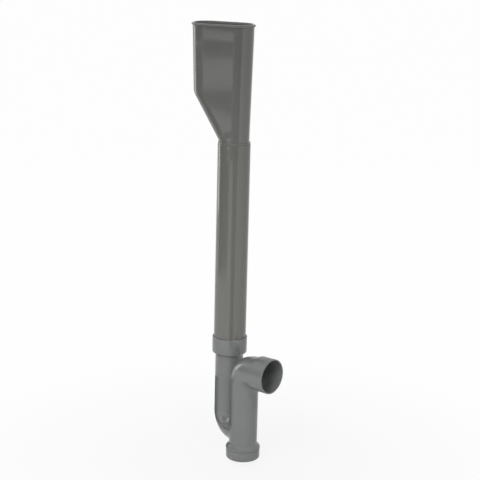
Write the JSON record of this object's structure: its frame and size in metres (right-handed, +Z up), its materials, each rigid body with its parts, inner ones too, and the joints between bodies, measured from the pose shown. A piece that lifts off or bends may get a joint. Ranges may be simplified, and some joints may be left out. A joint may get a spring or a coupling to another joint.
{
  "type": "double inlet trap",
  "caption": "Grey plastic waste trap with a standpipe, an oval hopper that takes drain hoses side by side, a horizontal solvent socket outlet and a screw cleanout cap below.",
  "frame": {"origin": "centre of the outlet socket's mouth", "axes": "+X out of the outlet socket, +Z up along the standpipe"},
  "size_m": [0.1321, 0.0548, 0.536],
  "materials": {
    "grey_pvc": "smooth moulded PVC, semi-gloss",
    "black_rubber": "plain moulded rubber"
  },
  "bodies": {
    "trap": {"trap_body": "grey_pvc", "standpipe": "grey_pvc"},
    "hopper": {"double_inlet_hopper": "grey_pvc"},
    "seal": {"cleanout_seal": "black_rubber"},
    "cap": {"cleanout_cap": "grey_pvc"}
  },
  "joints": [
    {"name": "hopper_lift", "type": "slide", "parent": "trap", "child": "hopper", "axis": [0, 0, 1], "range_m": [0, 0.045]},
    {"name": "cap_draw", "type": "slide", "parent": "trap", "child": "seal", "axis": [0, 0, -1], "range_m": [0, 0.0076]},
    {"name": "cap_turn", "type": "hinge", "parent": "seal", "child": "cap", "pos_m": [-0.0431, 0, -0.11], "axis": [0, 0, -1], "range_deg": [0, 900]}
  ],
  "couplings": [
    {"joint": "cap_draw", "follows": "cap_turn", "m_per_rad": 0.00047746}
  ]
}
